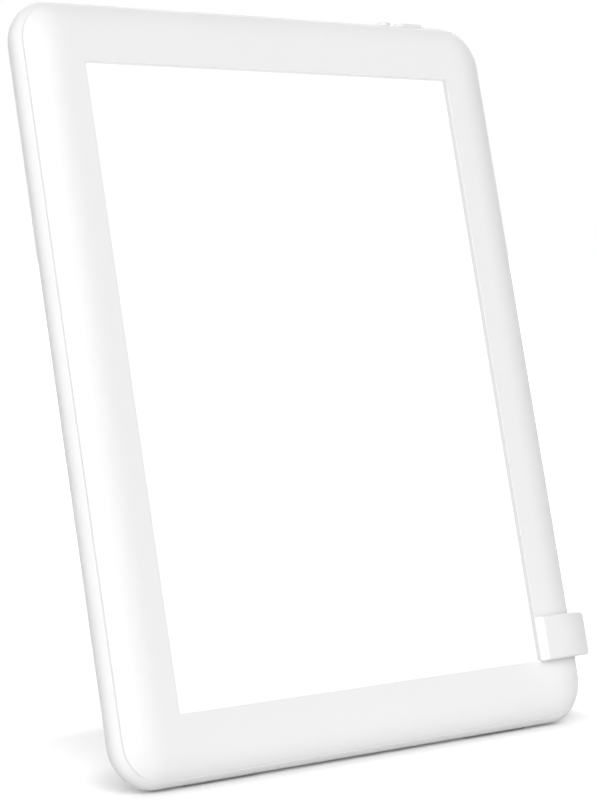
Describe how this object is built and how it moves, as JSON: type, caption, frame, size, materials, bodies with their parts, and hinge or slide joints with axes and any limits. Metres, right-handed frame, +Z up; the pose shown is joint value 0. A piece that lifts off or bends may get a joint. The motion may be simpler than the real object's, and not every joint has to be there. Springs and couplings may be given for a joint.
{
  "type": "light therapy lamp",
  "caption": "Flat lit panel with a rounded case that leans back on a clip-on stand with a folding leg; push buttons in the top edge, inlet, vents and keyholes in the back.",
  "frame": {"origin": "on the floor, under the middle of the whole lamp's box, stand open", "axes": "+X to the right as seen from the lit front, +Y to the back, +Z up"},
  "size_m": [0.1906, 0.0888, 0.2343],
  "materials": {
    "case_white": "satin moulded white",
    "button_white": "satin moulded white",
    "stand_white": "satin moulded white",
    "diffuser_opal": "lit opal sheet",
    "film_clear": "clear acrylic",
    "sheet_white": "white",
    "plate_aluminium": "rolled",
    "led_yellow": "phosphor",
    "screw_steel": "zinc plated",
    "brass_plated": "plain",
    "board_green": "solder mask",
    "black_plastic": "black",
    "can_aluminium": "sleeved can",
    "socket_cream": "nylon",
    "lead_insulation": "insulated wire",
    "ribbon_grey": "flat cable",
    "rubber_grey": "soft pad"
  },
  "bodies": {
    "case": {"front_bezel": "case_white", "back_cover": "case_white", "case_feet": "rubber_grey", "case_screws": "screw_steel", "diffuser": "diffuser_opal", "prism_film": "film_clear", "light_guide": "film_clear", "reflector_sheet": "sheet_white", "back_plate": "plate_aluminium", "stack_frame": "sheet_white", "plate_screws": "screw_steel", "led_strip_left": "plate_aluminium", "leds_left": "led_yellow", "led_strip_right": "plate_aluminium", "leds_right": "led_yellow", "driver_board": "board_green", "board_standoffs": "brass_plated", "board_screws": "screw_steel", "driver_chip": "black_plastic", "inductor": "black_plastic", "capacitors": "can_aluminium", "lead_sockets": "socket_cream", "leads_left": "lead_insulation", "leads_right": "lead_insulation", "ribbon_socket": "socket_cream", "button_ribbon": "ribbon_grey", "dc_inlet": "black_plastic", "inlet_pin": "brass_plated", "button_board": "board_green", "tact_switches": "black_plastic"},
    "power_button": {"power_button": "button_white", "power_plunger": "black_plastic"},
    "dimmer_button": {"dimmer_button": "button_white", "dimmer_plunger": "black_plastic"},
    "stand": {"stand_clip": "stand_white", "jaw_pad": "rubber_grey", "back_pads": "rubber_grey", "hinge_pin": "screw_steel", "hinge_washers": "socket_cream"},
    "leg": {"stand_leg": "stand_white", "leg_sole": "rubber_grey"}
  },
  "joints": [
    {"name": "power_press", "type": "slide", "parent": "case", "child": "power_button", "axis": [0, -0.2487, -0.9686], "range_m": [0, 0.0005], "stiffness_N_per_m": 3000, "springref_m": -0.0003},
    {"name": "dimmer_press", "type": "slide", "parent": "case", "child": "dimmer_button", "axis": [0, -0.2487, -0.9686], "range_m": [0, 0.0005], "stiffness_N_per_m": 3000, "springref_m": -0.0003},
    {"name": "stand_pull_off", "type": "slide", "parent": "case", "child": "stand", "axis": [1, 0, 0], "range_m": [0, 0.022]},
    {"name": "leg_fold", "type": "hinge", "parent": "stand", "child": "leg", "pos_m": [0.0275, 0.00853, 0.09232], "axis": [-1, 0, 0], "range_deg": [0, 34]}
  ]
}
